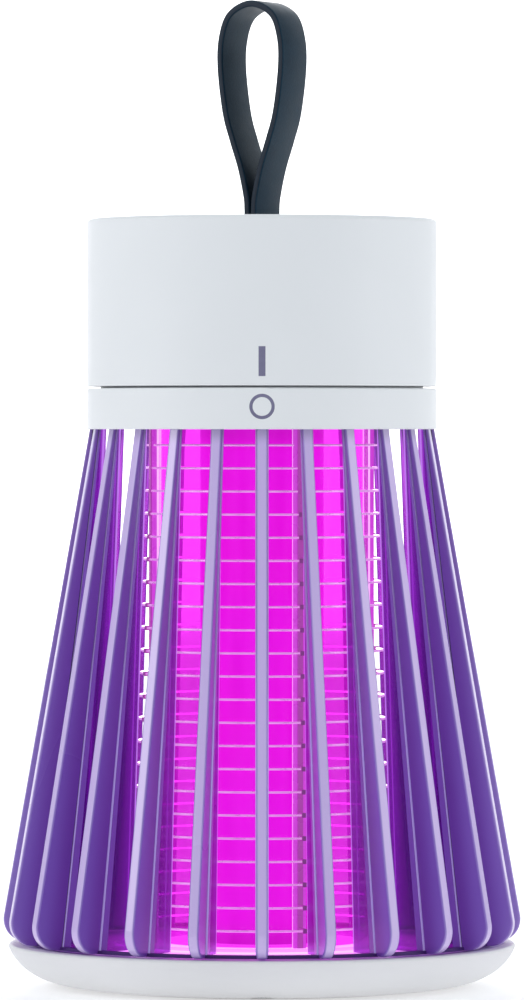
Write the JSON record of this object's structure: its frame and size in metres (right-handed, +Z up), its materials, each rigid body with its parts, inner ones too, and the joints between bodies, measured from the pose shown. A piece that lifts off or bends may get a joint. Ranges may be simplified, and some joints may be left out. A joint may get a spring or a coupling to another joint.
{
  "type": "electric bug zapper",
  "caption": "Hanging or standing rechargeable insect lamp: flared violet slats round a wired glowing core, twist head, twist-off tray and strap loop.",
  "frame": {"origin": "centre of the underside of the foot ring, on the lamp's axis", "axes": "+Z up along the lamp's axis, -Y towards the front with the on and off marks, +X to the viewer's right, +Y towards the charging port"},
  "size_m": [0.1258, 0.1258, 0.239],
  "materials": {
    "white_abs": "polished white moulding",
    "tray_white": "polished white moulding",
    "slat_violet": "translucent violet moulding lit from inside",
    "cage_violet": "translucent violet moulding",
    "lamp_floor": "white moulding, lit pink",
    "post_dark": "dark translucent moulding",
    "wire_steel": "bare drawn wire",
    "sleeve_clear": "clear magenta-tinted tube",
    "lamp_glow": "milky tube glowing magenta",
    "board_green": "glass-fibre board",
    "led_yellow": "diode packages",
    "mark_grey": "grey printed inlay",
    "screw_steel": "zinc-plated",
    "contact_copper": "spring bronze",
    "foot_rubber": "soft black",
    "cell_wrap": "shrink-wrapped cell",
    "coil_dark": "ferrite and taped winding",
    "can_blue": "sleeved can",
    "strap_blue_black": "soft grained strap",
    "port_rubber": "soft white flap"
  },
  "bodies": {
    "cage": {"slat_01": "slat_violet", "slat_02": "slat_violet", "slat_03": "slat_violet", "slat_04": "slat_violet", "slat_05": "slat_violet", "slat_06": "slat_violet", "slat_07": "slat_violet", "slat_08": "slat_violet", "slat_09": "slat_violet", "slat_10": "slat_violet", "slat_11": "slat_violet", "slat_12": "slat_violet", "slat_13": "slat_violet", "slat_14": "slat_violet", "slat_15": "slat_violet", "slat_16": "slat_violet", "slat_17": "slat_violet", "slat_18": "slat_violet", "slat_19": "slat_violet", "slat_20": "slat_violet", "slat_21": "slat_violet", "slat_22": "slat_violet", "slat_23": "slat_violet", "slat_24": "slat_violet", "cage_foot_frame": "cage_violet", "cage_top_plate": "cage_violet", "cage_screws": "screw_steel", "grid_base": "lamp_floor", "grid_posts": "post_dark", "grid_wires_live": "wire_steel", "grid_wires_return": "wire_steel", "light_sleeve": "sleeve_clear", "lamp_diffuser": "lamp_glow", "lamp_cap": "lamp_floor", "led_board": "board_green", "led_chips": "led_yellow", "collar_ring": "white_abs", "off_mark": "mark_grey", "contact_board": "contact_copper", "twist_screws": "screw_steel"},
    "tray": {"tray_dish": "tray_white", "catch_deck": "tray_white", "tray_screws": "screw_steel", "foot_ring": "foot_rubber"},
    "head": {"head_shell": "white_abs", "on_mark": "mark_grey", "head_floor": "white_abs", "head_screws": "screw_steel", "circuit_board": "board_green", "usb_socket": "screw_steel", "battery": "cell_wrap", "battery_cradle": "white_abs", "boost_transformer": "coil_dark", "storage_capacitor": "can_blue", "contact_fingers": "contact_copper", "top_cover": "white_abs", "strap_pin": "screw_steel", "strap_tail": "strap_blue_black"},
    "strap": {"strap_loop": "strap_blue_black"},
    "port_flap": {"port_cover": "port_rubber"}
  },
  "joints": [
    {"name": "tray_twist", "type": "hinge", "parent": "cage", "child": "tray", "pos_m": [0, 0, 0.0088], "axis": [0, 0, 1], "range_deg": [0, 40]},
    {"name": "head_twist", "type": "hinge", "parent": "cage", "child": "head", "pos_m": [0, 0, 0.1452], "axis": [0, 0, 1], "range_deg": [0, 30]},
    {"name": "strap_swing", "type": "hinge", "parent": "head", "child": "strap", "pos_m": [0, 0, 0.1878], "axis": [-0.5, -0.866, 0], "range_deg": [-70, 70], "stiffness_Nm_per_rad": 0.01},
    {"name": "port_flap_hinge", "type": "hinge", "parent": "head", "child": "port_flap", "pos_m": [0, 0.042, 0.1641], "axis": [1, 0, 0], "range_deg": [0, 90], "stiffness_Nm_per_rad": 0.002}
  ]
}
